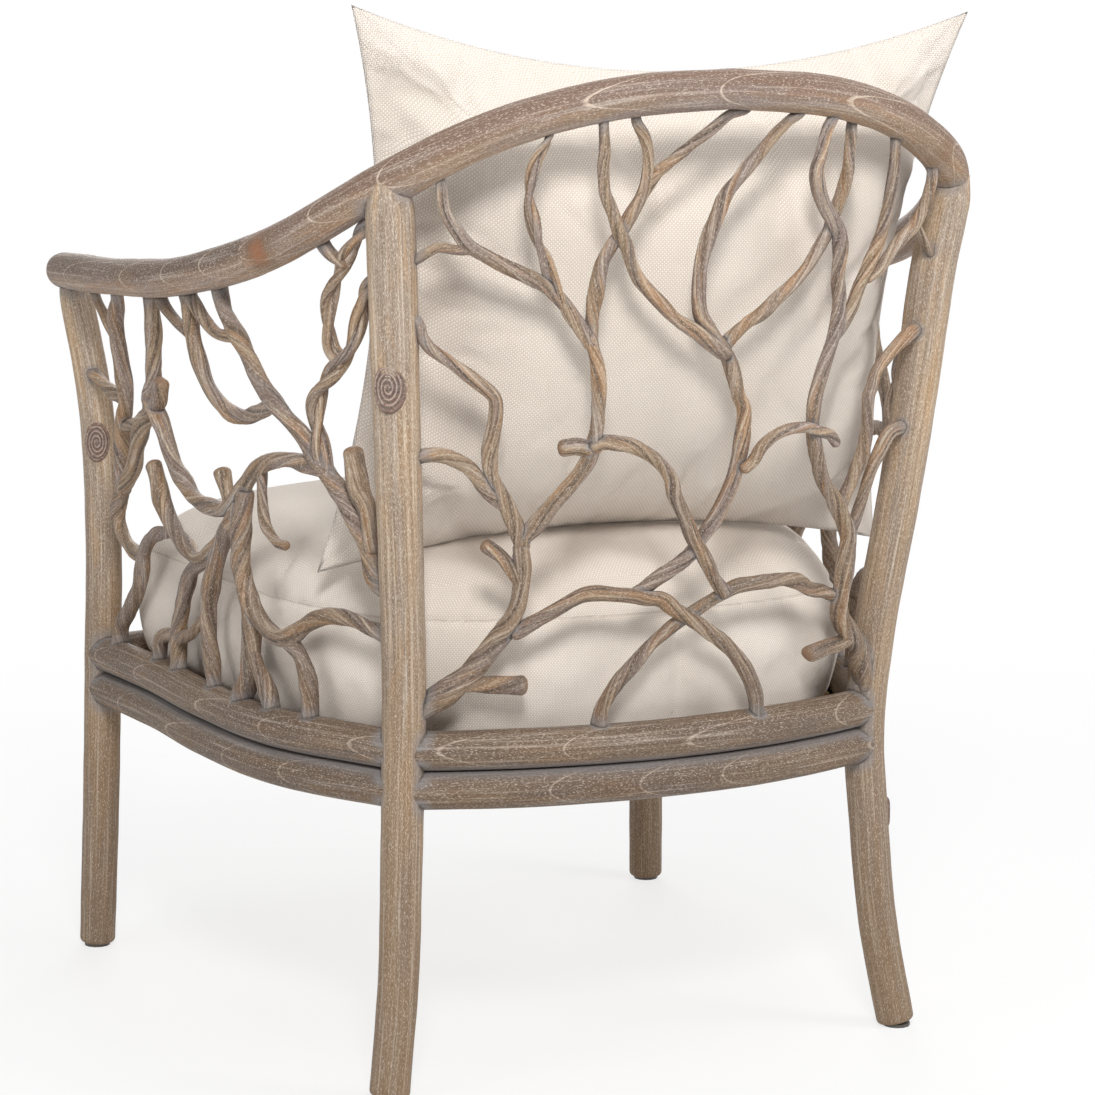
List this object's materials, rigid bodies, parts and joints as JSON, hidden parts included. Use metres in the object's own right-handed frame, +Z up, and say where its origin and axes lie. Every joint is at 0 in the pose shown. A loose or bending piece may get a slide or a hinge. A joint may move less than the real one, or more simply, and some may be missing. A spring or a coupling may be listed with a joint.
{
  "type": "barrel armchair with a branchwork back",
  "caption": "Open barrel armchair of rounded limed wood bars, with carved branches between the seat poles and the wrap-round rail, a boxed seat cushion and a loose square back pillow.",
  "frame": {"origin": "on the floor, under the middle of the box round the whole chair", "axes": "+Z up; the chair faces -Y, its back is at +Y and the sitter's left is at +X"},
  "size_m": [0.7406, 0.7647, 0.9502],
  "materials": {
    "limed_wood": "satin",
    "branch_wood": "satin",
    "inner_wood": "matte",
    "glide_nylon": "matte",
    "linen": "matte"
  },
  "bodies": {
    "frame": {"back_cross_branch": "branch_wood", "back_fork_branch": "branch_wood", "back_left_arc": "branch_wood", "back_left_stem": "branch_wood", "back_left_wave": "branch_wood", "back_long_branch": "branch_wood", "back_loop_branch": "branch_wood", "back_low_stem": "branch_wood", "back_lower_pole": "limed_wood", "back_middle_stem": "branch_wood", "back_outer_branch": "branch_wood", "back_post_branch": "branch_wood", "back_right_arc": "branch_wood", "back_right_stem": "branch_wood", "back_right_trunk": "branch_wood", "back_right_wave": "branch_wood", "back_trunk": "branch_wood", "back_twin_branch": "branch_wood", "back_twist_branch": "branch_wood", "back_upper_pole": "limed_wood", "corner_blocks": "inner_wood", "crest_rail": "limed_wood", "foot_glides": "glide_nylon", "frame_dowels": "inner_wood", "front_left_post": "limed_wood", "front_lower_pole": "limed_wood", "front_right_post": "limed_wood", "front_upper_pole": "limed_wood", "left_arm_rail": "limed_wood", "left_dip_branch": "branch_wood", "left_fork_leg": "branch_wood", "left_front_branch": "branch_wood", "left_hook_branch": "branch_wood", "left_long_branch": "branch_wood", "left_loop_branch": "branch_wood", "left_low_branch": "branch_wood", "left_lower_pole": "limed_wood", "left_thick_leg": "branch_wood", "left_twist_branch": "branch_wood", "left_upper_pole": "limed_wood", "left_wave_leg": "branch_wood", "rear_left_post": "limed_wood", "rear_right_post": "limed_wood", "right_arm_rail": "limed_wood", "right_dip_branch": "branch_wood", "right_fork_leg": "branch_wood", "right_front_branch": "branch_wood", "right_hook_branch": "branch_wood", "right_long_branch": "branch_wood", "right_loop_branch": "branch_wood", "right_low_branch": "branch_wood", "right_lower_pole": "limed_wood", "right_thick_leg": "branch_wood", "right_twist_branch": "branch_wood", "right_upper_pole": "limed_wood", "right_wave_leg": "branch_wood", "seat_cleats": "inner_wood", "seat_slats": "inner_wood"},
    "seat_cushion": {"seat_cushion": "linen"},
    "back_pillow": {"back_pillow": "linen"}
  },
  "joints": [
    {"name": "cushion_lift", "type": "slide", "parent": "frame", "child": "seat_cushion", "axis": [0, 0, 1], "range_m": [0, 0.12]},
    {"name": "pillow_lift", "type": "slide", "parent": "seat_cushion", "child": "back_pillow", "axis": [0, 0, 1], "range_m": [0, 0.15]}
  ]
}
